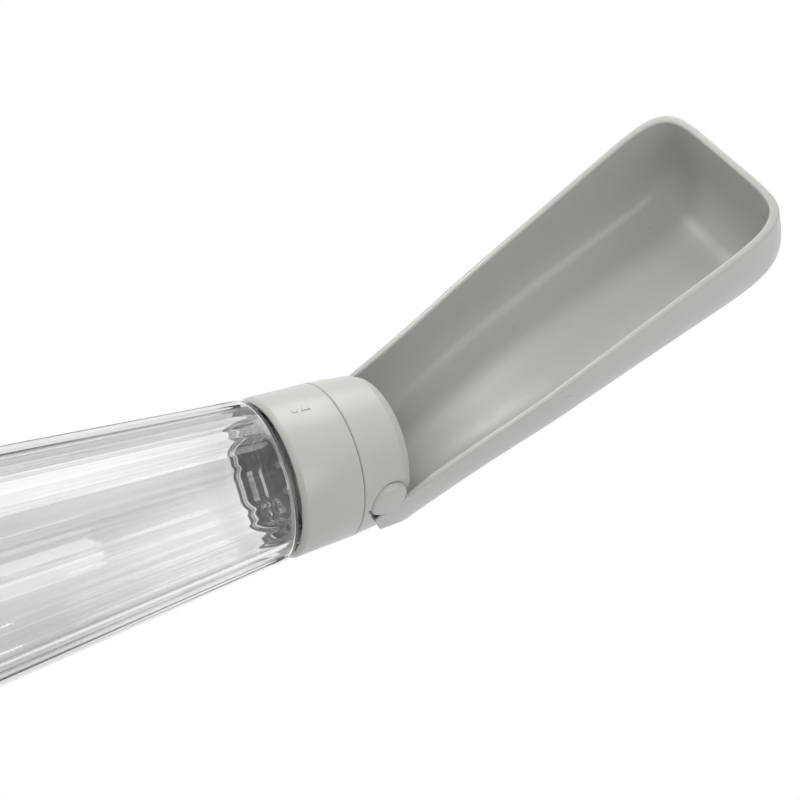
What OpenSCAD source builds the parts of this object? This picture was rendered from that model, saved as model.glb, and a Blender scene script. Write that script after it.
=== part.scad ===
// Dog travel water bottle: a clear fluted bottle, a grey screw-on collar, a twist-valve head
// ring and a long scoop trough that folds back over the bottle.
// Millimetres, +Z along the bottle. Origin at the middle of the face that the bottle stands on.
// The trough opens towards -Y. Its hinge runs along X.

/* [Bottle] */
// Diameter of the bottle at its base
base_d = 79.8; // [79:0.1:80.5]
// Diameter of the bottle just under the collar
shoulder_d = 62.8; // [62:0.1:63.2]
// Height of the bottle from its base to the collar
body_h = 142; // [141:0.5:142]
// Thickness of the clear wall
bottle_wall = 1.6; // [1.4:0.1:2]
// Number of flutes round the bottle
flute_count = 20; // [16:1:24]
// Depth of a flute at its middle
flute_depth = 0.55; // [0.3:0.05:0.7]

/* [Collar] */
// Height of the collar from its lower edge to the seam under the head ring
collar_h = 24; // [23.5:0.1:24.5]
// Diameter of the collar at the seam
seam_d = 62; // [61.9:0.1:62.2]
// Rise of the screw thread in one turn
thread_lead = 4; // [3.8:0.1:4.2]

/* [Head ring] */
// Height of the head ring from the seam to its front face
ring_h = 21.7; // [21.5:0.1:21.9]
// Diameter of the head ring at its front edge
front_d = 59.4; // [59:0.1:59.6]
// Distance of the water port from the middle of the head
port_offset = 13; // [12.8:0.1:13.2]

/* [Hinge] */
// Height of the hinge above the seam
hinge_rise = 11.8; // [11.7:0.1:11.9]
// Distance of the hinge in front of the bottle's middle
hinge_forward = 4.7; // [4.6:0.1:4.8]
// Radius of the round ears
ear_r = 8.3; // [8.2:0.1:8.4]
// Radius of the hinge pins
pin_r = 2.45; // [2.45:0.01:2.47]

/* [Trough] */
// Angle between the open trough and the bottle
open_tilt = 41; // [40:1:42]
// Length of the trough from the hinge to its far end
trough_l = 182.3; // [182:0.1:183]
// Width of the trough at the hinge
trough_near_w = 60; // [60:0.1:60.2]
// Width that the sides of the trough grow to at the far end
trough_far_w = 76; // [75.5:0.5:77]
// Distance from the hinge axis down to the level of the long rims
rim_drop = 8.15; // [8:0.05:8.4]
// Depth of the trough below the rims at the hinge
near_depth = 31.1; // [31:0.1:32]
// Depth of the trough below the rims at the far end
far_depth = 47.1; // [46:0.1:47.5]
// Thickness of the trough wall
trough_wall = 2.7; // [2.6:0.05:2.7]

/* [Hidden] */
eps = 0.05;
fine = 96;

// Heights
seam_z = body_h + collar_h;
front_z = seam_z + ring_h;
hinge_y = -hinge_forward;
hinge_z = seam_z + hinge_rise;
mouth_z = seam_z - 6.3;
gasket_t = 1.7;
deck_z = mouth_z + gasket_t + 2 * eps;
deck_t = 2.8;
seal_t = 2;
rotor_z = deck_z + deck_t + seal_t;
rotor_t = 2.5;
rotor_r = 27;
hub_top_z = rotor_z + 5.2;
hub_washer_r = 5.8;

// Neck and thread
neck_r = 25.6;
neck_bore_r = 23.4;
cap_bore_r = 27.5;
cap_r = 29.1;
ridge_h = 1.3;
thread_z = seam_z - 21;
thread_turns = 1.5;
ridge_steps = 32;

// Bottle shape
base_corner_r = 8;
shoulder_corner_r = 3;
shoulder_z = body_h - 5.2;
neck_root_z = body_h - 1.4;
base_t = 2.4;
flute_r = 8;

// Collar shape
collar_wall = 2.2;
collar_lip_r = 1.4;
collar_lip_h = 1.9;
collar_low_d = shoulder_d;
collar_low_z = body_h - 1.2;
flange_t = seam_z - deck_z - deck_t;
flange_bore_r = 22;

// Head ring shape
seam_gap = 0.25;
front_band = 3.6;
front_step = 1.2;
front_round = 0.8;
ring_bore_r = 25.2;
face_t = 2.4;
port_r = 4.5;
spout_r = 5.2;
spout_bore_r = 3.6;
spout_proud = 1.6;
hub_r = 4;
fit_gap = 0.05;

// Ears, their pockets and the head's rounded relief that the trough swings past
ear_in_x = 27.3;
ear_out_x = trough_near_w / 2;
pocket_x = 26.9;
pocket_r = ear_r + 0.3;
ear_round = 2.2;
boss_in_x = 19.5;
boss_r = 5.6;
relief_r = 28.2;
heel_cut_angle = 29;
arm_top = 8.6;
washer_t = 1.7;
washer_r = 4.8;
pin_in_x = 16;
pin_out_x = 28.8;
clip_t = 1;

// Trough shape
heel_r = 32.3;
heel_in_r = heel_r - trough_wall;
rim_rise = 2.8;
rim_rise_l = 60;
waist = 1.7;
waist_l = 75;
near_power = 2.9;
far_power = 5;
plan_power = 6.2;
end_power = 3.8;
nose_l = 51;
back_l = 45;
section_steps = 28;
body_steps = 10;
nose_steps = 10;
closed_angle = 171;
closed_gap = 0.35;
seal_gap = 0.06;
seal_w = 2.6;
seal_end_r = 14;

// Index mark on the collar, in place of any lettering
mark_angle = -97;
mark_z = seam_z - 11.6;
mark_h = 0.45;

// Solids of revolution about the bottle's axis, from [radius, height] points
module turned(points) {
    rotate_extrude($fn = fine) polygon(points);
}

// Points of an arc in a profile, centre c, radius r, from angle a0 to a1
function arc(c, r, a0, a1, steps = 8) =
    [for (i = [0:steps]) let (a = a0 + (a1 - a0) * i / steps) c + r * [cos(a), sin(a)]];

// One helical ridge as a swept trapezium. side is 1 for an outward ridge, -1 for an inward one
module helical_ridge(root_r, side, z) {
    crest_r = root_r + side * (ridge_h + 0.3);
    profile = [[root_r, -1.2], [crest_r, -0.5], [crest_r, 0.5], [root_r, 1.2]];
    count = ceil(thread_turns * ridge_steps);
    points = [for (i = [0:count], p = profile) let (a = 360 * i / ridge_steps)
        [p[0] * cos(a), p[0] * sin(a), z + p[1] + thread_lead * a / 360]];
    sides = [for (i = [0:count - 1], k = [0:3]) let (n = (k + 1) % 4)
        side > 0 ? [4 * i + k, 4 * i + n, 4 * i + n + 4, 4 * i + k + 4]
                 : [4 * i + k + 4, 4 * i + n + 4, 4 * i + n, 4 * i + k]];
    first = side > 0 ? [3, 2, 1, 0] : [0, 1, 2, 3];
    last = side > 0 ? [for (k = [0:3]) 4 * count + k] : [for (k = [3:-1:0]) 4 * count + k];
    polyhedron(points, concat(sides, [first, last]), convexity = 6);
}

// Outline of the bottle's outside, inset by t for its inside
function bottle_outline(t) =
    concat(
        arc([base_d / 2 - base_corner_r, base_corner_r + (t > 0 ? base_t - t : 0)],
            base_corner_r - t, -90, 0),
        arc([shoulder_d / 2 - shoulder_corner_r, shoulder_z], shoulder_corner_r - t, 0, 70),
        [[(t > 0 ? neck_bore_r : neck_r) + 0.4, neck_root_z - t],
            [t > 0 ? neck_bore_r : neck_r, neck_root_z - t + 0.6]]);

// Shallow grooves that follow the taper of the wall
module flutes() {
    z0 = 9;
    z1 = shoulder_z - 1;
    r0 = base_d / 2;
    r1 = shoulder_d / 2;
    grow = r0 / r1;
    lean = atan2(r0 - r1 - flute_r * (grow - 1), z1 - z0);
    for (i = [0:flute_count - 1])
        rotate([0, 0, (i + 0.5) * 360 / flute_count])
            translate([r0 + flute_r * grow - flute_depth, 0, z0])
                rotate([0, -lean - atan2(flute_r * (grow - 1), z1 - z0) * 2, 0])
                    cylinder(h = z1 - z0, r1 = flute_r * grow, r2 = flute_r, $fn = fine);
}

module bottle_body() {
    color([0.93, 0.95, 0.96, 0.35])
    union() {
        difference() {
            turned(concat([[0, 0]], bottle_outline(0), [[neck_r, mouth_z], [0, mouth_z]]));
            turned(concat([[0, base_t]], bottle_outline(bottle_wall),
                [[neck_bore_r, mouth_z + 1], [0, mouth_z + 1]]));
            flutes();
        }
        helical_ridge(neck_r - 0.3, 1, thread_z);
    }
}

module neck_gasket() {
    color("whitesmoke")
    translate([0, 0, mouth_z + eps]) difference() {
        cylinder(h = gasket_t, r = cap_bore_r - 0.3, $fn = fine);
        translate([0, 0, -1]) cylinder(h = gasket_t + 2, r = neck_bore_r - 0.8, $fn = fine);
    }
}

module collar_shell() {
    low_r = collar_low_d / 2;
    color([0.72, 0.72, 0.70])
    union() {
        turned(concat(
            [[low_r - collar_wall, collar_low_z], [low_r - collar_lip_r, collar_low_z],
                [low_r, collar_low_z + collar_lip_h]],
            [[seam_d / 2, seam_z - 0.4], [seam_d / 2 - 0.4, seam_z]],
            [[flange_bore_r, seam_z], [flange_bore_r, seam_z - flange_t],
                [cap_r + fit_gap, seam_z - flange_t], [cap_r + fit_gap, body_h + 2],
                [low_r - collar_wall, body_h + 1]]));
        index_mark();
    }
}

// A small raised pointer and dot, turned to face out of the collar
module index_mark() {
    rotate([0, 0, mark_angle]) translate([seam_d / 2 - 0.6, 0, mark_z]) rotate([90, 0, 90]) {
        linear_extrude(mark_h + 0.6) polygon([[-2.3, -1.2], [2.3, -1.2], [0, 2.4]]);
        translate([0, -4.2, 0]) cylinder(h = mark_h + 0.6, r = 1.2, $fn = 32);
    }
}

module threaded_cap() {
    color([0.36, 0.37, 0.37])
    union() {
        difference() {
            union() {
                turned([[0, deck_z], [cap_bore_r, deck_z], [cap_bore_r, body_h + 1.2],
                    [cap_r - 0.5, body_h + 1.2], [cap_r, body_h + 1.7],
                    [cap_r, deck_z + deck_t], [0, deck_z + deck_t]]);
                translate([0, 0, deck_z + 1])
                    cylinder(h = hub_top_z - deck_z - 1, r = hub_r, $fn = 48);
            }
            translate([0, -port_offset, deck_z - 1]) cylinder(h = deck_t + 2, r = port_r, $fn = 48);
            translate([0, port_offset, deck_z - 1]) cylinder(h = deck_t + 2, r = 1.5, $fn = 32);
            translate([0, 0, deck_z + 0.8]) cylinder(h = 20, r = 1.5, $fn = 32);
        }
        helical_ridge(cap_bore_r + 0.3, -1, thread_z + thread_lead / 2);
    }
}

module seat_seal() {
    color("gainsboro")
    translate([0, -port_offset, deck_z + deck_t]) difference() {
        cylinder(h = seal_t - eps, r = port_r + 2.4, $fn = 48);
        translate([0, 0, -1]) cylinder(h = seal_t + 2, r = port_r + 0.7, $fn = 48);
    }
}

// Umbrella valve that lets air back into the bottle
module air_valve() {
    color("gainsboro")
    translate([0, port_offset, 0]) rotate_extrude($fn = 48) polygon([
        [0, deck_z - 1.3], [3.2, deck_z - 1], [4.6, deck_z - 0.05], [1.5, deck_z - 0.05],
        [1.5, deck_z + deck_t], [2.3, deck_z + deck_t], [2.3, deck_z + deck_t + 0.6],
        [0, deck_z + deck_t + 1]]);
}

module hub_washer() {
    color("silver")
    translate([0, 0, hub_top_z]) difference() {
        cylinder(h = 1, r = hub_washer_r, $fn = 48);
        translate([0, 0, -1]) cylinder(h = 3, r = 1.7, $fn = 32);
    }
}

module hub_screw() {
    head_z = hub_top_z + 1;
    color("silver")
    difference() {
        union() {
            translate([0, 0, deck_z + 2]) cylinder(h = head_z - deck_z - 2, r = 1.5, $fn = 32);
            turned([[0, head_z], [3.4, head_z], [3.4, head_z + 1.2], [2.4, head_z + 2.1],
                [0, head_z + 2.3]]);
        }
        for (a = [0, 90])
            rotate([0, 0, a]) translate([-1.9, -0.35, head_z + 1.1]) cube([3.8, 0.7, 2]);
    }
}

module hub_o_ring() {
    ring_r = 0.9;
    color("dimgray")
    translate([0, 0, rotor_z - ring_r - eps])
        rotate_extrude($fn = 64) translate([hub_r + ring_r, 0]) circle(ring_r, $fn = 32);
}

module valve_rotor() {
    color([0.85, 0.86, 0.86])
    difference() {
        union() {
            translate([0, 0, rotor_z]) cylinder(h = rotor_t, r = rotor_r, $fn = fine);
            translate([0, 0, rotor_z + 1]) cylinder(h = hub_top_z - rotor_z - 1.2, r = 7, $fn = 48);
            translate([0, -port_offset, rotor_z + 1]) cylinder(h = 7.5, r = spout_r + 1.6, $fn = 48);
        }
        translate([0, 0, rotor_z - 1]) cylinder(h = 20, r = hub_r + fit_gap, $fn = 48);
        translate([0, -port_offset, rotor_z - 1]) cylinder(h = 20, r = port_r, $fn = 48);
        translate([0, -port_offset, rotor_z + rotor_t])
            cylinder(h = 20, r = spout_r + fit_gap, $fn = 48);
    }
}

// Soft nozzle in the head's face, through which the water runs into the trough
module outlet_spout() {
    bottom = rotor_z + rotor_t + eps;
    top = front_z + spout_proud;
    color([0.88, 0.90, 0.91])
    translate([0, -port_offset, 0]) rotate_extrude($fn = 64) polygon([
        [spout_bore_r, bottom], [spout_r, bottom], [spout_r, top - 0.8], [spout_r - 0.8, top],
        [spout_bore_r + 0.5, top], [spout_bore_r, top - 0.5]]);
}

// Half of space in front of the slanted edge where the trough's arms begin
module ahead_of_heel(gap) {
    translate([0, hinge_y, hinge_z]) rotate([heel_cut_angle, 0, 0])
        translate([-100, -250, -ear_r - gap]) cube([200, 500, 500]);
}

// Round about the hinge that the trough's inside clears while it swings
module swing_round(gap = 0) {
    translate([0, hinge_y, hinge_z]) rotate([0, 90, 0]) rotate_extrude($fn = fine)
        intersection() {
            translate([hinge_forward, 0]) circle(relief_r + gap, $fn = fine);
            translate([0, -pocket_x - gap]) square([60, 2 * (pocket_x + gap)]);
        }
}

// Part of the head that is cut back for the arms and ears
module arm_zone() {
    intersection() {
        ahead_of_heel(0.3);
        translate([-60, hinge_y - arm_top, hinge_z]) cube([120, 100, 60]);
    }
    intersection() {
        ahead_of_heel(0.3);
        translate([-60, hinge_y, hinge_z - 40]) cube([120, 100, 60]);
    }
    translate([-60, hinge_y, hinge_z]) rotate([0, 90, 0]) cylinder(h = 120, r = pocket_r, $fn = fine);
}

module head_outline() {
    low = seam_z + seam_gap;
    front_r = front_d / 2;
    turned(concat(
        [[0, low], [seam_d / 2 - 0.4, low], [seam_d / 2, low + 0.4]],
        [[front_r, front_z - front_band]],
        arc([front_r - front_step - front_round, front_z - front_round], front_round, 10, 90, 4),
        [[0, front_z]]));
}

module head_ring() {
    color([0.72, 0.72, 0.70])
    difference() {
        union() {
            difference() {
                head_outline();
                difference() {
                    arm_zone();
                    swing_round();
                }
                translate([0, 0, seam_z - 1])
                    cylinder(h = front_z - face_t - seam_z + 1, r = ring_bore_r, $fn = fine);
                translate([0, 0, seam_z - 1])
                    cylinder(h = rotor_z + rotor_t - seam_z + 1, r = rotor_r + fit_gap, $fn = fine);
            }
            for (side = [-1, 1])
                translate([side * (boss_in_x + pocket_x) / 2, hinge_y, hinge_z]) rotate([0, 90, 0])
                    cylinder(h = pocket_x - boss_in_x, r = boss_r, center = true, $fn = 64);
        }
        translate([0, -port_offset, front_z - 10]) cylinder(h = 20, r = spout_r + fit_gap, $fn = 64);
        for (side = [-1, 1]) {
            translate([side * 25, hinge_y, hinge_z]) rotate([0, 90, 0])
                cylinder(h = 20, r = pin_r + fit_gap, center = true, $fn = 48);
            translate([side * (pocket_x - washer_t / 2 + 0.3), hinge_y, hinge_z]) rotate([0, 90, 0])
                cylinder(h = washer_t + 0.6, r = washer_r + fit_gap, center = true, $fn = 48);
        }
    }
}

// A ring on the hinge axis between two distances from the middle
module hinge_ring(side, x0, x1, r_in, r_out) {
    translate([side * (x0 + x1) / 2, hinge_y, hinge_z]) rotate([0, 90, 0]) difference() {
        cylinder(h = x1 - x0, r = r_out, center = true, $fn = 48);
        cylinder(h = x1 - x0 + 2, r = r_in, center = true, $fn = 48);
    }
}

module friction_washer(side) {
    color("dimgray")
    hinge_ring(side, pocket_x - washer_t, pocket_x + 0.3, pin_r + 0.1, washer_r);
}

module pin_clip(side) {
    color("silver")
    hinge_ring(side, boss_in_x - clip_t - 0.3, boss_in_x - 0.3, pin_r, washer_r - 0.2);
}

module hinge_pin(side) {
    color("silver")
    translate([side * (pin_in_x + pin_out_x) / 2, hinge_y, hinge_z]) rotate([0, 90, 0])
        cylinder(h = pin_out_x - pin_in_x, r = pin_r, center = true, $fn = 48);
}

// The trough's form is worked out in its own frame: X across, Y down from the hinge axis
// into the scoop, Z along it.
function part_way(z) = max(0, min(1, z / trough_l));
function rim_level(z) = rim_drop - rim_rise * pow(max(0, 1 - max(z, 0) / rim_rise_l), 1.25);
function floor_level(z) =
    rim_drop + near_depth + (far_depth - near_depth) * pow(part_way(z), 1.7);
function side_width(z) =
    trough_near_w / 2 + waist * (1 - pow(max(0, 1 - pow(max(z, 0) / waist_l, 3)), 2))
    + ((trough_far_w - trough_near_w) / 2 - waist) * z / trough_l;
function wall_power(z) = near_power + (far_power - near_power) * part_way(z);

// Distances along the trough, and how far each lies into the rounded nose
function stations(l) = concat(
    [for (i = [0:body_steps]) [-back_l + (l - nose_l + back_l) * i / body_steps, 0]],
    [for (i = [1:nose_steps]) let (n = pow(sin(87.5 * i / nose_steps), 2 / plan_power))
        [l - nose_l + nose_l * n, n]]);

// One section across the trough, inset by t. The inside's runs on past the rims
function section(z, n, t) =
    let (w = (side_width(z) - t) * pow(1 - pow(n, plan_power), 1 / plan_power),
        rim = rim_level(z),
        d = (floor_level(z) - t - rim) * pow(1 - pow(n, end_power), 1 / end_power),
        p = 2 / wall_power(z))
    concat(
        t > 0 ? [[w, rim - 5, z]] : [],
        [for (i = [0:section_steps]) let (a = 180 * i / section_steps)
            [w * sign(cos(a)) * pow(abs(cos(a)), p), rim + d * pow(sin(a), p), z]],
        t > 0 ? [[-w, rim - 5, z]] : []);

// The solid between the rims and the scoop's surface, inset by t
module scoop(t) {
    rows = [for (s = stations(trough_l - t)) section(s[0], s[1], t)];
    m = len(rows[0]);
    last = len(rows) - 1;
    skin = [for (i = [0:last - 1], k = [0:m - 2])
        [i * m + k, (i + 1) * m + k, (i + 1) * m + k + 1, i * m + k + 1]];
    lid = [for (i = [0:last - 1]) [i * m, i * m + m - 1, (i + 1) * m + m - 1, (i + 1) * m]];
    ends = [[for (k = [0:m - 1]) k], [for (k = [m - 1:-1:0]) last * m + k]];
    polyhedron([for (r = rows, p = r) p], concat(skin, lid, ends), convexity = 8);
}

// Bottle-wide channel that the heel of the trough follows, open to the front
module heel_channel(r) {
    translate([0, 0, hinge_z - 60]) linear_extrude(400) union() {
        circle(r, $fn = fine);
        translate([-100, -400]) square([200, 400]);
    }
}

module on_hinge(angle) {
    translate([0, hinge_y, hinge_z]) rotate([angle, 0, 0]) children();
}

// Room that the folded arms leave for the ring and the collar, turned back to the open pose
module folded_clearance() {
    seam_r = seam_d / 2 + closed_gap;
    low_r = collar_low_d / 2 + closed_gap;
    on_hinge(open_tilt - closed_angle) translate([0, hinge_forward, -hinge_rise]) {
        cylinder(h = ring_h, r1 = seam_r, r2 = front_d / 2 + closed_gap, $fn = fine);
        translate([0, 0, -collar_h]) cylinder(h = collar_h + eps, r1 = low_r, r2 = seam_r, $fn = fine);
        translate([0, 0, -collar_h - 30]) cylinder(h = 30 + eps, r = low_r, $fn = fine);
    }
}

// Round ear on the end of an arm, with its outer edge rounded
module ear(side) {
    translate([0, hinge_y, hinge_z]) rotate([0, side * 90, 0]) turned(concat(
        [[0, ear_in_x], [ear_r, ear_in_x]],
        arc([ear_r - ear_round, ear_out_x - ear_round], ear_round, 0, 90),
        [[0, ear_out_x]]));
}

module trough_shell() {
    color([0.70, 0.70, 0.68])
    difference() {
        union() {
            difference() {
                intersection() {
                    on_hinge(open_tilt) scoop(0);
                    heel_channel(heel_r);
                    ahead_of_heel(0);
                }
                intersection() {
                    on_hinge(open_tilt) scoop(trough_wall);
                    heel_channel(heel_in_r);
                }
                folded_clearance();
            }
            for (side = [-1, 1]) ear(side);
        }
        for (side = [-1, 1])
            translate([side * (ear_in_x + pin_out_x + 0.1) / 2, hinge_y, hinge_z])
                rotate([0, 90, 0])
                    cylinder(h = pin_out_x + 0.1 - ear_in_x, r = pin_r, center = true, $fn = 48);
    }
}

// Soft strip along the heel's edge that closes the gap round the head
module heel_seal() {
    color("gainsboro")
    difference() {
        intersection() {
            on_hinge(open_tilt) scoop(trough_wall + seal_gap);
            heel_channel(heel_in_r - seal_gap);
            difference() {
                ahead_of_heel(-0.6);
                ahead_of_heel(-0.6 - seal_w);
            }
            translate([-60, hinge_y, hinge_z]) rotate([open_tilt, 0, 0]) translate([0, 1, -60])
                cube([120, 100, 120]);
        }
        swing_round(seal_gap);
        translate([0, hinge_y, hinge_z]) rotate([0, 90, 0])
            cylinder(h = 120, r = seal_end_r, center = true, $fn = fine);
    }
}

bottle_body();
neck_gasket();
collar_shell();
threaded_cap();
seat_seal();
air_valve();
hub_screw();
hub_washer();
hub_o_ring();
head_ring();
valve_rotor();
outlet_spout();
friction_washer(-1);  // friction_washer_left
friction_washer(1);  // friction_washer_right
trough_shell();
heel_seal();
hinge_pin(-1);  // hinge_pin_left
hinge_pin(1);  // hinge_pin_right
pin_clip(-1);  // pin_clip_left
pin_clip(1);  // pin_clip_right
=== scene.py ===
"""Looks of a dog travel water bottle: a clear fluted bottle, a grey collar and head, a scoop trough.

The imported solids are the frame. New pieces are modelled over the ones that show most, in metres, in
the frame's own axes: +Z along the bottle, X along the trough's hinge, and the trough opens towards
-Y. Fields and profiles are in millimetres, and MM turns them into metres.
"""

import logging
import math
from dataclasses import dataclass, field
from enum import Enum
from typing import Callable, Iterable, Sequence

import bpy
from mathutils import Matrix, Vector


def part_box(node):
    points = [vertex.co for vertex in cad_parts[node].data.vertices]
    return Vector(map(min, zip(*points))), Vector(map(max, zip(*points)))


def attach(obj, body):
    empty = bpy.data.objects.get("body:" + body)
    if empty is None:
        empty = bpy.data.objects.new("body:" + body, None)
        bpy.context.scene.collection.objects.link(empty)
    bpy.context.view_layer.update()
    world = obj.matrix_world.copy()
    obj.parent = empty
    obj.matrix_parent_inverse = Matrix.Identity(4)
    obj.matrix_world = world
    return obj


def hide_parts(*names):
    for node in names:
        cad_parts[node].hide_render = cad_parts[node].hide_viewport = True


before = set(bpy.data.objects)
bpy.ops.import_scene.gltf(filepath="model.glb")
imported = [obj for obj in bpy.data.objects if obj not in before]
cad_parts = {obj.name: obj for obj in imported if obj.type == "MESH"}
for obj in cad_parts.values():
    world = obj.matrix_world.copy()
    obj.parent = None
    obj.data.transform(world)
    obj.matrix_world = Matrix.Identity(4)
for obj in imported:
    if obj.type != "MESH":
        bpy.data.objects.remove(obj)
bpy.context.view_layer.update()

LOG = logging.getLogger("dog_bottle")
MM = 0.001
Point2 = tuple[float, float]
Colour = tuple[float, float, float]


class Slot(Enum):
    """Material slots that the record names."""

    CLEAR = "clear_plastic"
    SHELL = "shell_plastic"
    INNER = "inner_plastic"
    VALVE = "valve_plastic"
    SILICONE = "pale_silicone"
    RUBBER = "dark_rubber"
    STEEL = "steel"


class Body(Enum):
    """Moving bodies that the pieces ride on."""

    BOTTLE = "bottle"
    GASKET = "gasket"
    COLLAR = "collar"
    HEAD = "head"
    TROUGH = "trough"


# Small tools for modelling

def clear_selection() -> None:
    """Leaves edit mode and deselects everything."""
    if bpy.context.object and bpy.context.object.mode != "OBJECT":
        bpy.ops.object.mode_set(mode="OBJECT")
    bpy.ops.object.select_all(action="DESELECT")


def pick(*pieces: bpy.types.Object) -> None:
    """Selects only these pieces and makes the first one active.

    Args:
        pieces: the objects that the next operator acts on.
    """
    clear_selection()
    for piece in pieces:
        piece.select_set(True)
    bpy.context.view_layer.objects.active = pieces[0]


def named_last(name: str) -> bpy.types.Object:
    """Names the object that a primitive operator has just added.

    Args:
        name: the piece's name.

    Returns:
        The object.
    """
    piece = bpy.context.object
    piece.name = name
    piece.data.name = name
    return piece


def apply_modifier(piece: bpy.types.Object, kind: str, **settings: object) -> None:
    """Adds a modifier to a piece and applies it.

    Args:
        piece: the mesh object.
        kind: the modifier's type.
        settings: its properties.
    """
    pick(piece)
    modifier = piece.modifiers.new(kind.title(), kind)
    for key, value in settings.items():
        setattr(modifier, key, value)
    bpy.ops.object.modifier_apply(modifier=modifier.name)


def carve(piece: bpy.types.Object, tool: bpy.types.Object, operation: str = "DIFFERENCE") -> None:
    """Joins, cuts or intersects a piece with a tool shape, and removes the tool.

    Args:
        piece: the mesh that is kept.
        tool: the shape that works on it.
        operation: UNION, DIFFERENCE or INTERSECT.
    """
    apply_modifier(piece, "BOOLEAN", object=tool, operation=operation, solver="EXACT")
    bpy.data.objects.remove(tool)


def smooth(piece: bpy.types.Object, degrees: float = 35.0) -> None:
    """Shades a piece smooth, except across sharp edges.

    Args:
        piece: the mesh object.
        degrees: the angle past which an edge counts as sharp.
    """
    pick(piece)
    bpy.ops.object.shade_smooth_by_angle(angle=math.radians(degrees))


def in_edit(piece: bpy.types.Object, *steps: Callable[[], object]) -> None:
    """Runs mesh operators on the whole of a piece in edit mode.

    Args:
        piece: the mesh object.
        steps: calls that run one after another with everything selected before each.
    """
    pick(piece)
    bpy.ops.object.mode_set(mode="EDIT")
    for step in steps:
        bpy.ops.mesh.select_all(action="SELECT")
        step()
    bpy.ops.object.mode_set(mode="OBJECT")


def tidy_shell(piece: bpy.types.Object, gap: float = 0.00001) -> None:
    """Closes poles and seams, and turns the faces outwards.

    Args:
        piece: the mesh object.
        gap: distance in metres within which points become one.
    """
    in_edit(
        piece,
        lambda: bpy.ops.mesh.remove_doubles(threshold=gap),
        lambda: bpy.ops.mesh.delete_loose(),
        lambda: bpy.ops.mesh.normals_make_consistent(inside=False),
    )


def arc(centre: Point2, radius: float, start: float, end: float, steps: int = 6) -> list[Point2]:
    """Points of an arc in a turned profile.

    Args:
        centre: distance from the axis and height.
        radius: the arc's radius.
        start: first angle in degrees, 0 outwards and 90 upwards.
        end: last angle in degrees.
        steps: how many stretches.

    Returns:
        The points, first to last.
    """
    turn = [math.radians(start + (end - start) * i / steps) for i in range(steps + 1)]
    return [(centre[0] + radius * math.cos(a), centre[1] + radius * math.sin(a)) for a in turn]


def turned(name: str, profile: Sequence[Point2], steps: int = 192) -> bpy.types.Object:
    """Spins a closed profile about the bottle's axis.

    Args:
        name: the piece's name.
        profile: distances from the axis and heights, in millimetres.
        steps: how many stretches round.

    Returns:
        A closed shell.
    """
    clear_selection()
    bpy.ops.mesh.primitive_circle_add(vertices=len(profile), radius=1.0)
    piece = named_last(name)
    for vertex, (radius, height) in zip(piece.data.vertices, profile):
        vertex.co = (radius * MM, 0.0, height * MM)
    in_edit(
        piece,
        lambda: bpy.ops.mesh.spin(
            steps=steps, angle=math.tau, center=(0.0, 0.0, 0.0), axis=(0.0, 0.0, 1.0)
        ),
    )
    tidy_shell(piece)
    return piece


# Finishes

class Socket:
    """A shader socket that takes part in sums."""

    def __init__(self, board: "Board", link: bpy.types.NodeSocket) -> None:
        """Wraps an output socket of a board's node."""
        self.board = board
        self.link = link

    def _math(self, operation: str, other: object) -> "Socket":
        """Adds a Math node for this socket and another value."""
        return self.board.node("ShaderNodeMath", {"operation": operation}, {0: self, 1: other})

    def __add__(self, other: object) -> "Socket":
        """Returns this plus other."""
        return self._math("ADD", other)

    def __mul__(self, other: object) -> "Socket":
        """Returns this times other."""
        return self._math("MULTIPLY", other)


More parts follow.
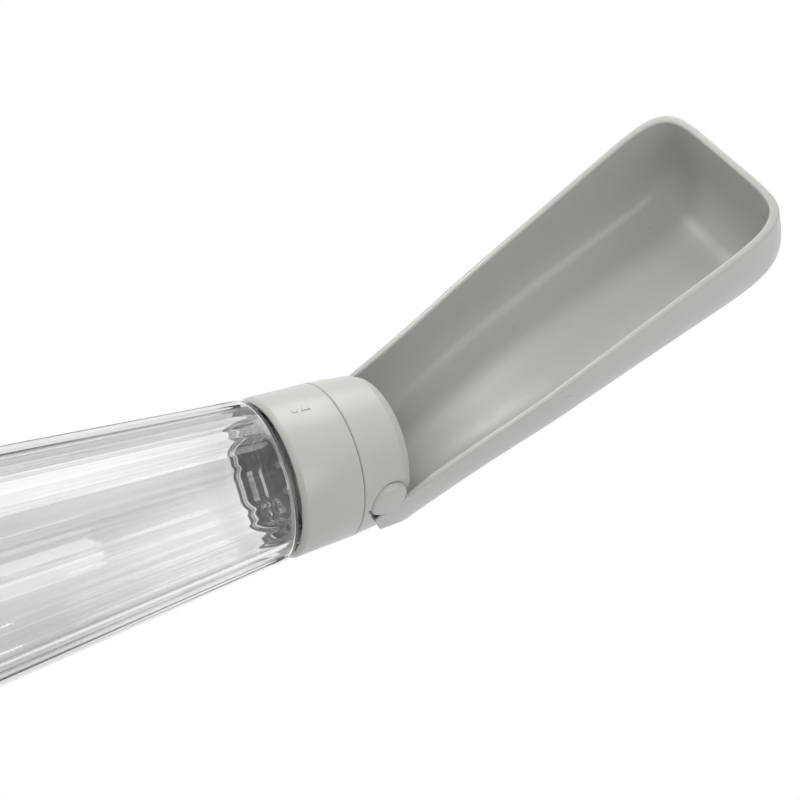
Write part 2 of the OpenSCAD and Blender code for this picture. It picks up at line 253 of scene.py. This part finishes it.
class Board:
    """The node board of one material or of the world."""

    def __init__(self, tree: bpy.types.NodeTree) -> None:
        """Empties a node tree and keeps it."""
        self.tree = tree
        tree.nodes.clear()

    def node(self, kind: str, settings: dict[str, object] | None = None,
             sockets: dict[object, object] | None = None, out: object = 0) -> Socket:
        """Adds a node.

        Args:
            kind: the node's type.
            settings: its properties, set first. A ramp's stops are under "stops".
            sockets: values or links of its inputs, by name or number.
            out: name or number of the output that is returned.

        Returns:
            The output, wrapped.
        """
        made = self.tree.nodes.new(kind)
        for key, value in (settings or {}).items():
            if key == "stops":
                self._set_stops(made, value)
            else:
                setattr(made, key, value)
        for key, value in (sockets or {}).items():
            if isinstance(value, Socket):
                self.tree.links.new(value.link, made.inputs[key])
            else:
                made.inputs[key].default_value = value
        return Socket(self, made.outputs[out]) if len(made.outputs) else Socket(self, None)

    @staticmethod
    def _set_stops(ramp: bpy.types.Node, stops: Sequence[tuple[float, float]]) -> None:
        """Sets a colour ramp's stops to grey levels at places from 0 to 1."""
        elements = ramp.color_ramp.elements
        while len(elements) < len(stops):
            elements.new(0.5)
        for element, (place, level) in zip(elements, stops):
            element.position = place
            element.color = (level, level, level, 1.0)

    def noise(self, scale: float, detail: float = 2.0, stretch: Colour = (1.0, 1.0, 1.0)) -> Socket:
        """Adds noise on the piece's own coordinates.

        Args:
            scale: how many features to a metre.
            detail: octaves of finer noise.
            stretch: how much finer it is along each axis.

        Returns:
            The noise, from 0 to 1.
        """
        place = self.node("ShaderNodeTexCoord", None, None, "Object")
        place = self.node("ShaderNodeMapping", None, {"Vector": place, "Scale": stretch})
        return self.node(
            "ShaderNodeTexNoise", None,
            {"Vector": place, "Scale": scale, "Detail": detail}, "Fac",
        )

    def between(self, low: Colour, high: Colour, share: Socket) -> Socket:
        """Mixes two colours.

        Args:
            low: the colour at a share of 0.
            high: the colour at a share of 1.
            share: the socket that mixes them.

        Returns:
            The mixed colour.
        """
        return self.node(
            "ShaderNodeMix", {"data_type": "RGBA"},
            {0: share, 6: (*low, 1.0), 7: (*high, 1.0)}, 2,
        )

    def bump(self, height: Socket, depth: float, strength: float = 1.0) -> Socket:
        """Turns a height into a normal.

        Args:
            height: the socket with the height, from 0 to 1.
            depth: how deep a height of 1 is, in millimetres.
            strength: how much of it shows.

        Returns:
            The normal.
        """
        return self.node(
            "ShaderNodeBump", None,
            {"Height": height, "Distance": depth * MM, "Strength": strength},
        )


def shaded(colour: Colour, factor: float) -> Colour:
    """Makes a colour darker or lighter.

    Args:
        colour: the colour to start from.
        factor: what each channel is multiplied by.

    Returns:
        The new colour, with no channel past 1.
    """
    return tuple(min(1.0, channel * factor) for channel in colour)


@dataclass(frozen=True)
class Finish:
    """A finish with constants on the shader and faint variation in colour, gloss and surface."""

    name: str
    colour: Colour
    rough: float
    rough_swing: float = 0.06
    colour_swing: float = 0.03
    blotch: float = 35.0
    grain: float = 2600.0
    grain_depth: float = 0.012
    constants: dict[str, object] = field(default_factory=dict)

    def material(self) -> bpy.types.Material:
        """Builds the material the first time that it is asked for.

        Returns:
            The material.
        """
        found = bpy.data.materials.get(self.name)
        if found:
            return found
        made = bpy.data.materials.new(self.name)
        made.use_nodes = True
        board = Board(made.node_tree)
        self.dress(board)
        return made

    def dress(self, board: Board) -> None:
        """Fills the board: blotchy colour, uneven gloss and a fine moulded grain."""
        blotches = board.noise(self.blotch, 3.0)
        colour = board.between(
            shaded(self.colour, 1.0 - self.colour_swing),
            shaded(self.colour, 1.0 + self.colour_swing), blotches,
        )
        scuffs = board.noise(self.blotch * 7, 4.0, (1.0, 1.0, 0.35))
        grain = board.noise(self.grain, 2.0)
        self.finish_board(
            board,
            {
                "Base Color": colour,
                "Roughness": scuffs * (2 * self.rough_swing) + (self.rough - self.rough_swing),
                "Normal": board.bump(grain, self.grain_depth),
            },
        )

    def finish_board(self, board: Board, sockets: dict[str, object]) -> None:
        """Adds the shader and the output.

        Args:
            board: the material's board.
            sockets: links of the shader's inputs. The finish's constants come on top of them.
        """
        shader = board.node("ShaderNodeBsdfPrincipled", None, {**sockets, **self.constants})
        board.node("ShaderNodeOutputMaterial", None, {"Surface": shader})


@dataclass(frozen=True)
class ClearFinish(Finish):
    """Clear plastic with smoky bands and long faint flow lines from moulding."""

    smoke: float = 0.74
    band_edges: tuple[float, float] = (0.42, 0.66)
    flow_strength: float = 0.6

    def dress(self, board: Board) -> None:
        """Fills the board: smoky bands and flow lines along the bottle, and a little haze."""
        flow = board.noise(160.0, 3.0, (1.0, 1.0, 0.05))
        haze = board.noise(60.0, 2.0)
        bands = board.noise(55.0, 3.0, (1.0, 1.0, 0.08))
        smoky_end, clear_start = self.band_edges
        bands = board.node(
            "ShaderNodeValToRGB", {"stops": [(smoky_end, 0.0), (clear_start, 1.0)]}, {"Fac": bands}
        )
        self.finish_board(
            board,
            {
                "Base Color": board.between(shaded(self.colour, self.smoke), self.colour, bands),
                "Roughness": haze * self.rough_swing + self.rough,
                "Normal": board.bump(flow, self.grain_depth, self.flow_strength),
            },
        )


@dataclass(frozen=True)
class TurnedFinish(Finish):
    """Turned steel with fine rings of tool marks."""

    smudge: float = 0.15
    shine: float = 0.08

    def dress(self, board: Board) -> None:
        """Fills the board: rings of tool marks along the hinge's axis and soft smudges."""
        marks = board.noise(900.0, 2.0, (6.0, 0.4, 0.4))
        smudges = board.noise(120.0, 3.0)
        colour = board.between(
            shaded(self.colour, 1.0 - self.smudge), shaded(self.colour, 1.0 + self.shine), smudges
        )
        self.finish_board(
            board,
            {
                "Base Color": colour,
                "Roughness": marks * (2 * self.rough_swing) + (self.rough - self.rough_swing),
                "Normal": board.bump(marks, self.grain_depth),
            },
        )


SHELL_GREY: Colour = (0.405, 0.402, 0.386)
FINISHES: dict[Slot, Finish] = {
    Slot.SHELL: Finish("shell_grey", SHELL_GREY, 0.3, constants={"IOR": 1.48}),
    Slot.CLEAR: ClearFinish(
        "clear_wall", (0.92, 0.928, 0.93), 0.015, rough_swing=0.03, grain_depth=0.05,
        constants={"Transmission Weight": 1.0, "IOR": 1.5},
    ),
    # This grey is raised as painted light: it lightens the cap and the parts seen through the clear
    # bottle, where the shut-in space behind the clear walls gets little light.
    Slot.INNER: Finish("inner_grey_painted_light", (0.56, 0.565, 0.56), 0.42),
    Slot.VALVE: Finish("valve_white", (0.66, 0.68, 0.68), 0.4),
    Slot.SILICONE: Finish(
        "pale_silicone", (0.62, 0.64, 0.65), 0.5, grain=1500.0,
        constants={"Subsurface Weight": 0.25, "Subsurface Scale": 0.002},
    ),
    Slot.RUBBER: Finish("dark_rubber", (0.02, 0.02, 0.021), 0.6, grain=1800.0),
    Slot.STEEL: TurnedFinish(
        "turned_steel", (0.56, 0.57, 0.58), 0.26, grain_depth=0.004, constants={"Metallic": 1.0}
    ),
}

FLOOR_WHITE = Finish("floor_white", (0.86, 0.86, 0.85), 0.7, grain=90.0)


def hand_over(piece: bpy.types.Object, body: Body, slot: Slot, *nodes: str) -> None:
    """Gives a finished piece its slot's finish and its body, and hides the nodes it stands for.

    Args:
        piece: the finished mesh object.
        body: the body that carries it.
        slot: the slot whose finish it wears.
        nodes: CAD nodes that it replaces.
    """
    piece.data.materials.clear()
    piece.data.materials.append(FINISHES[slot].material())
    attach(piece, body.value)
    if nodes:
        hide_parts(*nodes)
    LOG.info("%s: %d faces", piece.name, len(piece.data.polygons))


# The object's own pieces

@dataclass(frozen=True)
class Hinge:
    """Where the trough's hinge axis runs, in millimetres."""

    y: float
    z: float

    @classmethod
    def from_frame(cls) -> "Hinge":
        """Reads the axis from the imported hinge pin."""
        low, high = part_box("hinge_pin_right")
        return cls((low.y + high.y) / 2 / MM, (low.z + high.z) / 2 / MM)


@dataclass
class ClearBottle:
    """The clear bottle: a tapered wall with flutes, a neck and a screw thread."""

    base_r: float = 39.9
    shoulder_r: float = 31.4
    base_corner: float = 8.0
    shoulder_corner: float = 3.0
    shoulder_z: float = 136.8
    neck_root_z: float = 140.6
    neck_r: float = 25.6
    bore_r: float = 23.4
    mouth_z: float = 159.7
    wall: float = 1.6
    floor: float = 2.4
    flutes: int = 20
    flute_r: float = 8.0
    flute_depth: float = 0.55
    flute_low: float = 9.0
    flute_fade: float = 5.0
    root_round: float = 0.6
    mouth_round: float = 0.4
    step_in: float = 0.5
    thread_z: float = 145.0
    thread_lead: float = 4.0
    thread_turns: float = 1.5
    steps: int = 320

    def build(self) -> None:
        """Builds the wall and the thread as one piece."""
        wall = turned("clear_bottle", self._profile(), self.steps)
        self._press_flutes(wall)
        carve(wall, self._thread(), "UNION")
        smooth(wall, 30)
        hand_over(wall, Body.BOTTLE, Slot.CLEAR, "bottle_body")

    def _profile(self) -> list[Point2]:
        """Returns the closed profile, up the outside and down the inside."""
        corner = self.base_r - self.base_corner
        inner_corner = self.base_corner - self.wall
        outer = [(0.0, 0.0), (corner * 0.6, 0.0)]
        outer += arc((corner, self.base_corner), self.base_corner, -90, 0, 8)
        outer += self._wall_line(0.0)
        shoulder = (self.shoulder_r - self.shoulder_corner, self.shoulder_z)
        outer += arc(shoulder, self.shoulder_corner, 5, 75, 7)
        root, mouth = self.root_round, self.mouth_round
        inner_root_z = self.neck_root_z - self.wall
        outer += [(self.neck_r + self.step_in, self.neck_root_z)]
        outer += [(self.neck_r, self.neck_root_z + root)]
        outer += arc((self.neck_r - root, self.mouth_z - root), root, 0, 90, 4)
        inner = arc((self.bore_r + mouth, self.mouth_z - mouth), mouth, 90, 180, 3)
        inner += [(self.bore_r, inner_root_z + root), (self.bore_r + self.step_in, inner_root_z)]
        inner += arc(shoulder, self.shoulder_corner - self.wall, 75, 5, 5)
        inner += self._wall_line(self.wall)[::-1]
        inner += arc((corner, inner_corner + self.floor), inner_corner, 0, -90, 6)
        inner += [(corner * 0.5, self.floor - mouth), (0.0, self.floor - root)]
        return outer + inner

    def _wall_line(self, inset: float) -> list[Point2]:
        """Finds points up the tapered wall, closer together where the flutes fade.

        Args:
            inset: distance from the outside.

        Returns:
            The points, lowest first.
        """
        low = self.base_corner + inset
        rows = [low, 10.5, 12, 14] + [18 + 9.5 * i for i in range(12)]
        rows += [126, 129, 131, 133, 134.5, 136]
        return [(self._radius(z) - inset, float(z)) for z in rows]

    def _radius(self, z: float) -> float:
        """Returns the wall's outer radius at a height."""
        share = (z - self.base_corner) / (self.shoulder_z - self.base_corner)
        return self.base_r + (self.shoulder_r - self.base_r) * min(1.0, max(0.0, share))

    def _press_flutes(self, wall: bpy.types.Object) -> None:
        """Presses the shallow flutes into the outside of the wall."""
        pitch = math.tau / self.flutes
        for vertex in wall.data.vertices:
            x, y, z = (value / MM for value in vertex.co)
            radius = math.hypot(x, y)
            inside = radius < self._radius(z) - self.wall / 2
            if inside or not self.flute_low < z < self.shoulder_z:
                continue
            angle = math.atan2(y, x) % pitch - pitch / 2
            across = angle * radius
            groove = self.flute_r * radius / self.shoulder_r
            ends = min(z - self.flute_low, self.shoulder_z - z) / self.flute_fade
            depth = self.flute_depth * min(1.0, ends) - across * across / (2 * groove)
            if depth > 0:
                vertex.co.xy *= (radius - depth) / radius

    def _thread(self) -> bpy.types.Object:
        """Returns the helical ridge round the neck."""
        clear_selection()
        bpy.ops.mesh.primitive_circle_add(vertices=4, radius=1.0)
        ridge = named_last("neck_thread")
        shape = [(-0.4, -1.3), (1.3, -0.5), (1.3, 0.5), (-0.4, 1.3)]
        for vertex, (out, up) in zip(ridge.data.vertices, shape):
            vertex.co = ((self.neck_r + out) * MM, 0.0, (self.thread_z + up) * MM)
        in_edit(ridge, lambda: bpy.ops.mesh.edge_face_add())
        apply_modifier(
            ridge, "SCREW", angle=math.tau * self.thread_turns, steps=140, render_steps=140,
            screw_offset=self.thread_lead * self.thread_turns * MM, axis="Z",
            use_normal_calculate=True,
        )
        tidy_shell(ridge)
        return ridge


@dataclass
class Collar:
    """The screw collar round the neck, with a plain raised mark."""

    low_r: float = 31.4
    seam_r: float = 31.0
    low_z: float = 140.8
    seam_z: float = 166.0
    wall: float = 2.2
    lip: float = 1.4
    lip_h: float = 1.9
    bore_r: float = 29.15
    flange_r: float = 22.0
    flange_z: float = 164.35
    mark_angle: float = -97.0
    mark_z: float = 154.4
    mark_h: float = 0.45
    edge_round: float = 0.45
    foot_round: float = 0.2
    taper_gain: float = 0.1
    mark_half: float = 0.6
    dot_drop: float = 4.2

    def build(self) -> None:
        """Builds the sleeve and its mark."""
        sleeve = turned("collar_sleeve", self._profile(), 256)
        smooth(sleeve)
        hand_over(sleeve, Body.COLLAR, Slot.SHELL, "collar_shell")
        self._mark("collar_dot", -self.dot_drop, 1.2, 32)
        self._mark("collar_pointer", 0.0, 2.3, 3)

    def _profile(self) -> list[Point2]:
        """Returns the sleeve's closed profile."""
        chamfer_top = self.low_z + self.lip_h
        foot, edge = self.foot_round, self.edge_round
        return [
            (self.low_r - self.wall, self.low_z + foot),
            (self.low_r - self.wall + foot, self.low_z),
            (self.low_r - self.lip - foot, self.low_z),
            (self.low_r - self.lip, self.low_z + 0.15),
            (self.low_r - 0.12, chamfer_top - 0.25),
            (self.low_r, chamfer_top + 0.1),
            *arc((self.seam_r - edge, self.seam_z - edge), edge, 0, 90, 4),
            (self.flange_r, self.seam_z),
            (self.flange_r, self.flange_z),
            (self.bore_r, self.flange_z),
            (self.bore_r, self.low_z + 4.2),
            (self.low_r - self.wall, self.low_z + 3.2),
        ]

    def _mark(self, name: str, rise: float, size: float, sides: int) -> None:
        """Adds a raised round or pointed mark, bevelled and set into the sleeve.

        Args:
            name: the piece's name.
            rise: its height above the middle of the mark.
            size: its radius.
            sides: how many sides it has.
        """
        clear_selection()
        thick = 2 * self.mark_half
        bpy.ops.mesh.primitive_cylinder_add(vertices=sides, radius=size * MM, depth=thick * MM)
        mark = named_last(name)
        apply_modifier(mark, "BEVEL", width=0.2 * MM, segments=3, limit_method="ANGLE")
        round_axis = Matrix.Rotation(math.radians(self.mark_angle), 4, "Z")
        out = self.seam_r + self.taper_gain + self.mark_h - self.mark_half
        place = Matrix.Translation((out * MM, 0, (self.mark_z + rise) * MM))
        face_out = Matrix.Rotation(math.radians(90), 4, "Y")
        point_up = Matrix.Rotation(math.radians(180), 4, "Z")
        mark.data.transform(round_axis @ place @ face_out @ point_up)
        smooth(mark)
        hand_over(mark, Body.COLLAR, Slot.SHELL)


@dataclass
class ScoopTrough:
    """The long drinking trough with its heel and ears."""

    hinge: Hinge
    collar: Collar
    shoulder_z: float = 142.0
    room_l: float = 30.0
    front_r: float = 29.7
    front_z: float = 187.7
    tilt: float = 41.0
    length: float = 182.3
    near_w: float = 60.0
    far_w: float = 76.0
    waist: float = 1.7
    waist_l: float = 75.0
    rim_drop: float = 8.15
    near_depth: float = 31.1
    far_depth: float = 47.1
    wall: float = 2.7
    rim_rise: float = 2.8
    rim_rise_l: float = 60.0
    near_power: float = 2.9
    far_power: float = 5.0
    plan_power: float = 6.2
    end_power: float = 3.8
    nose_l: float = 51.0
    back_l: float = 30.0
    heel_end: float = 26.0
    heel_r: float = 32.3
    heel_cut: float = 29.0
    ear_r: float = 8.3
    ear_in: float = 27.3
    ear_out: float = 30.05
    ear_round: float = 2.2
    rim_round: float = 0.85
    rim_power: float = 1.25
    floor_power: float = 1.7
    folded_angle: float = 171.0
    folded_gap: float = 0.35
    rows: int = 22
    heel_steps: int = 46
    side_steps: int = 30
    nose_steps: int = 26

    def build(self) -> None:
        """Builds the shell with rounded rims, cuts its heel and adds the ears."""
        shell = self._skin("scoop_trough", 0.0, self.heel_r)
        inside = self._skin("trough_inside", self.wall, self.heel_r - self.wall)
        in_edit(inside, lambda: bpy.ops.mesh.flip_normals())
        pick(shell, inside)
        bpy.ops.object.join()
        self._bridge_rims(shell)
        apply_modifier(
            shell, "BEVEL", width=self.rim_round * MM, segments=4, limit_method="ANGLE",
            angle_limit=math.radians(62),
        )
        self._cut_heel(shell)
        carve(shell, self._folded_room())
        for side in (-1, 1):
            carve(shell, self._ear(side), "UNION")
        smooth(shell, 32)
        hand_over(shell, Body.TROUGH, Slot.SHELL, "trough_shell")

    def _skin(self, name: str, inset: float, heel_r: float) -> bpy.types.Object:
        """Wraps a grid over the scoop's outside or inside.

        Args:
            name: the mesh's name.
            inset: distance from the outside, in millimetres.
            heel_r: radius that the heel keeps to round the bottle's axis.

        Returns:
            An open sheet whose border is the rims and the back end.
        """
        path = self._rim_path(inset)
        columns, rows = len(path) - 1, 2 * self.rows
        clear_selection()
        bpy.ops.mesh.primitive_grid_add(x_subdivisions=columns, y_subdivisions=rows, size=2.0)
        sheet = named_last(name)
        for vertex in sheet.data.vertices:
            column = round((vertex.co.x + 1) / 2 * columns)
            row = round((vertex.co.y + 1) / 2 * rows)
            across, down, along = self._wrap(path[column], row / self.rows, inset)
            vertex.co = self._placed(across, down, along, heel_r)
        in_edit(sheet, lambda: bpy.ops.mesh.remove_doubles(threshold=0.00002))
        return sheet

    def _rim_path(self, inset: float) -> list[tuple[float, float, float]]:
        """Walks round the rim's plan, from the heel round the nose and back.

        Args:
            inset: distance from the outside.

        Returns:
            Each point's share of the half width, distance along, and share into the nose.
        """
        body_end = self.length - inset - self.nose_l
        heel_l = self.heel_end + self.back_l
        body = [-self.back_l + heel_l * i / self.heel_steps for i in range(self.heel_steps + 1)]
        side_l = body_end - self.heel_end
        body += [self.heel_end + side_l * i / self.side_steps for i in range(1, self.side_steps + 1)]
        corner = 2 ** (-1 / self.plan_power)
        shares = [corner * i / self.nose_steps for i in range(self.nose_steps + 1)]
        nose = [(self._other(into, self.plan_power), into) for into in shares[1:]]
        nose += [(across, self._other(across, self.plan_power)) for across in shares[-2::-1]]
        side = [(1.0, z, 0.0) for z in body]
        side += [(across, body_end + self.nose_l * into, into) for across, into in nose]
        return side + [(-across, z, into) for across, z, into in side[-2::-1]]

    @staticmethod
    def _other(share: float, power: float) -> float:
        """Returns the other share of a superellipse's radius."""
        return max(0.0, 1 - abs(share) ** power) ** (1 / power)

    def _wrap(self, rim: tuple[float, float, float], row: float,
              inset: float) -> tuple[float, float, float]:
        """Finds a point of the scoop's surface.

        Args:
            rim: the rim point's share across, distance along and share into the nose.
            row: 0 at the rim, 2 at the keel.
            inset: distance from the outside.

        Returns:
            Distances across, down from the hinge axis and along the trough.
        """
        share, along, into = rim
        body_end = self.length - inset - self.nose_l
        power = self._wall_power(along) if into == 0 else (self.far_power + self.end_power) / 2
        half = 2 ** (-1 / power)
        inwards = self._other(half * row, power) if row <= 1 else half * (2 - row)
        if into == 0:
            down = half * row if row <= 1 else self._other(inwards, power)
            width = self._half_width(along) - inset
            drop = self._floor(along) - inset - self._rim(along)
            return share * width * inwards, self._rim(along) + drop * down, along
        width = (self._half_width(along) - inset) * share
        across = width * inwards
        here = body_end + (along - body_end) * inwards
        nose = (here - body_end) / self.nose_l
        limit = (self._half_width(here) - inset) * self._other(nose, self.plan_power)
        ratio = min(1.0, abs(across) / max(limit, 1e-9))
        down = self._other(nose, self.end_power) * self._other(ratio, self._wall_power(here))
        down = 0.0 if row == 0 else down
        drop = self._floor(here) - inset - self._rim(here)
        return across, self._rim(here) + drop * down, here

    def _half_width(self, along: float) -> float:
        """Returns half the trough's width at a distance along it, drawn in at the waist."""
        near = 1 - max(0.0, 1 - (max(along, 0.0) / self.waist_l) ** 3) ** 2
        spread = (self.far_w - self.near_w) / 2 - self.waist
        return self.near_w / 2 + self.waist * near + spread * along / self.length

    def _part(self, along: float) -> float:
        """Returns how far along the trough a distance is, from 0 to 1."""
        return min(1.0, max(0.0, along / self.length))

    def _wall_power(self, along: float) -> float:
        """Returns how square the section is."""
        return self.near_power + (self.far_power - self.near_power) * self._part(along)

    def _rim(self, along: float) -> float:
        """Returns the rim's distance down from the hinge axis."""
        left = max(0.0, 1 - max(along, 0.0) / self.rim_rise_l)
        return self.rim_drop - self.rim_rise * left ** self.rim_power

    def _floor(self, along: float) -> float:
        """Returns the floor's distance down from the hinge axis."""
        swell = (self.far_depth - self.near_depth) * self._part(along) ** self.floor_power
        return self.rim_drop + self.near_depth + swell

    def _placed(self, across: float, down: float, along: float, heel_r: float) -> Vector:
        """Turns a point of the trough to its open tilt, and keeps the heel round the head.

        Args:
            across: distance sideways from the middle.
            down: distance from the hinge axis into the scoop.
            along: distance along the trough.
            heel_r: radius about the bottle's axis that the heel keeps to.

        Returns:
            The place in the frame, in metres.
        """
        tilt = math.radians(self.tilt)
        y = self.hinge.y - math.sin(tilt) * along + math.cos(tilt) * down
        z = self.hinge.z + math.cos(tilt) * along + math.sin(tilt) * down
        radius = math.hypot(across, y)
        if y > 0 and radius > heel_r:
            across, y = across * heel_r / radius, y * heel_r / radius
        return Vector((across * MM, y * MM, z * MM))

    @staticmethod
    def _bridge_rims(shell: bpy.types.Object) -> None:
        """Joins the borders of the outside and the inside with a rim."""
        pick(shell)
        bpy.ops.object.mode_set(mode="EDIT")
        bpy.ops.mesh.select_mode(type="EDGE")
        bpy.ops.mesh.select_all(action="DESELECT")
        bpy.ops.mesh.select_non_manifold(
            extend=False, use_wire=False, use_boundary=True, use_multi_face=False,
            use_non_contiguous=False, use_verts=False,
        )
        bpy.ops.mesh.bridge_edge_loops()
        bpy.ops.mesh.select_mode(type="VERT")
        bpy.ops.object.mode_set(mode="OBJECT")
        in_edit(shell, lambda: bpy.ops.mesh.normals_make_consistent(inside=False))

    def _cut_heel(self, shell: bpy.types.Object) -> None:
        """Cuts the back end off along the slanted heel, and closes the cut."""
        slant = math.radians(self.heel_cut)
        normal = Vector((0.0, -math.sin(slant), math.cos(slant)))
        place = Vector((0.0, self.hinge.y * MM, self.hinge.z * MM)) - normal * self.ear_r * MM
        in_edit(
            shell,
            lambda: bpy.ops.mesh.bisect(
                plane_co=place, plane_no=normal, use_fill=True, clear_inner=True
            ),
        )

    def _ear(self, side: int) -> bpy.types.Object:
        """Turns the round ear of one side, with a well rounded outer edge.

        Args:
            side: 1 for the right ear, -1 for the left one.

        Returns:
            The ear in its place.
        """
        round_r = self.ear_round
        profile = [(0.0, self.ear_in), (self.ear_r, self.ear_in)]
        profile += arc((self.ear_r - round_r, self.ear_out - round_r), round_r, 0, 90, 8)
        ear = turned("ear", profile + [(0.0, self.ear_out)], 96)
        place = Matrix.Translation((0.0, self.hinge.y * MM, self.hinge.z * MM))
        ear.data.transform(place @ Matrix.Rotation(math.radians(90 * side), 4, "Y"))
        return ear

    def _folded_room(self) -> bpy.types.Object:
        """Returns the room that the folded arms leave round the ring and the collar."""
        collar = self.collar
        low_r, seam_r, front_r = (
            radius + self.folded_gap for radius in (collar.low_r, collar.seam_r, self.front_r)
        )
        low_z = self.shoulder_z - self.room_l
        tool = turned("folded_room", [
            (0.0, low_z), (low_r, low_z), (low_r, self.shoulder_z), (seam_r, collar.seam_z),
            (front_r, self.front_z), (0.0, self.front_z),
        ])
        pivot = Matrix.Translation((0.0, self.hinge.y * MM, self.hinge.z * MM))
        turn = Matrix.Rotation(math.radians(self.tilt - self.folded_angle), 4, "X")
        tool.data.transform(pivot @ turn @ pivot.inverted())
        return tool


@dataclass
class CarriedNodes:
    """The CAD nodes that keep their own shape and get a finish."""

    slots: dict[str, Slot] = field(default_factory=lambda: {
        "neck_gasket": Slot.SILICONE, "threaded_cap": Slot.INNER, "seat_seal": Slot.SILICONE,
        "air_valve": Slot.SILICONE, "hub_screw": Slot.STEEL, "hub_washer": Slot.STEEL,
        "hub_o_ring": Slot.RUBBER, "head_ring": Slot.SHELL, "valve_rotor": Slot.VALVE,
        "outlet_spout": Slot.SILICONE, "friction_washer_left": Slot.RUBBER,
        "friction_washer_right": Slot.RUBBER, "heel_seal": Slot.SILICONE,
        "hinge_pin_left": Slot.STEEL, "hinge_pin_right": Slot.STEEL,
        "pin_clip_left": Slot.STEEL, "pin_clip_right": Slot.STEEL,
    })

    def build(self) -> None:
        """Puts each node's finish on its material slots."""
        for name, slot in self.slots.items():
            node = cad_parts[name]
            node.data.materials.clear()
            node.data.materials.append(FINISHES[slot].material())
            LOG.info("%s keeps its shape", name)


# The studio

@dataclass(frozen=True)
class SoftLamp:
    """A soft square lamp that looks at the object: its side and distance in metres."""

    name: str
    towards: Colour
    distance: float
    side: float
    watts: float

    def hang(self, centre: Colour) -> None:
        """Hangs the lamp.

        Args:
            centre: the place that it looks at.
        """
        data = bpy.data.lights.new(self.name, "AREA")
        data.size = self.side
        data.energy = self.watts
        lamp = bpy.data.objects.new(self.name, data)
        bpy.context.scene.collection.objects.link(lamp)
        towards = Vector(self.towards).normalized()
        lamp.location = Vector(centre) + towards * self.distance
        lamp.rotation_euler = towards.to_track_quat("Z", "Y").to_euler()


@dataclass
class Studio:
    """Camera, floor, white background and soft lamps."""

    eye: Colour = (0.19604, -0.29502, 0.00339)
    right: Colour = (0.5069, -0.2234, 0.8326)
    up: Colour = (-0.6958, -0.6761, 0.2422)
    lens: float = 45.0
    sensor: float = 36.0
    ambient: float = 0.78
    centre: Colour = (0.0, -0.05, 0.2)
    lamps: tuple[SoftLamp, ...] = (
        SoftLamp("key", (-0.6958, -0.6761, 0.2422), distance=0.75, side=0.55, watts=3.1),
        SoftLamp("fill", (0.795, -0.604, -0.053), distance=0.94, side=0.5, watts=2.2),
        SoftLamp("glint", (-0.62, -0.64, -0.45), distance=0.42, side=0.08, watts=0.5),
    )

    def build(self) -> None:
        """Builds everything round the object."""
        self._camera()
        self._floor()
        self._world()
        for lamp in self.lamps:
            lamp.hang(self.centre)
        bpy.context.scene.view_settings.view_transform = "Standard"

    def _camera(self) -> None:
        """Stands the camera where the photograph was taken from."""
        data = bpy.data.cameras.new("camera")
        data.lens = self.lens
        data.sensor_width = self.sensor
        data.clip_start = 0.01
        camera = bpy.data.objects.new("camera", data)
        bpy.context.scene.collection.objects.link(camera)
        right = Vector(self.right).normalized()
        up = Vector(self.up)
        up = (up - right * up.dot(right)).normalized()
        back = right.cross(up)
        turn = Matrix((right, up, back)).transposed()
        camera.matrix_world = Matrix.Translation(self.eye) @ turn.to_4x4()
        bpy.context.scene.camera = camera

    @staticmethod
    def _floor() -> None:
        """Lays the plain pale floor."""
        clear_selection()
        bpy.ops.mesh.primitive_plane_add(size=6.0, location=(0.0, 0.0, 0.0))
        floor = named_last("floor")
        floor.data.materials.append(FLOOR_WHITE.material())

    def _world(self) -> None:
        """Makes the background white, and lights the object at a plain level."""
        world = bpy.data.worlds.new("studio")
        world.use_nodes = True
        bpy.context.scene.world = world
        board = Board(world.node_tree)
        path = "ShaderNodeLightPath"
        seen = board.node(path, None, None, "Is Camera Ray")
        seen = seen + board.node(path, None, None, "Is Glossy Ray")
        seen = seen + board.node(path, None, None, "Is Transmission Ray")
        seen = board.node("ShaderNodeMath", {"operation": "MINIMUM"}, {0: seen, 1: 1.0})
        strength = seen * (1.0 - self.ambient) + self.ambient
        light = board.node("ShaderNodeBackground", None,
                           {"Color": (1.0, 1.0, 1.0, 1.0), "Strength": strength})
        board.node("ShaderNodeOutputWorld", None, {"Surface": light})


def main() -> None:
    """Builds the pieces in order and reports each one."""
    logging.basicConfig(level=logging.INFO, format="%(name)s %(message)s")
    collar = Collar()
    parts: Iterable[object] = (
        Studio(), CarriedNodes(), ClearBottle(), collar, ScoopTrough(Hinge.from_frame(), collar),
    )
    for part in parts:
        part.build()
        LOG.info("built %s", type(part).__name__)


if __name__ == "__main__":
    main()
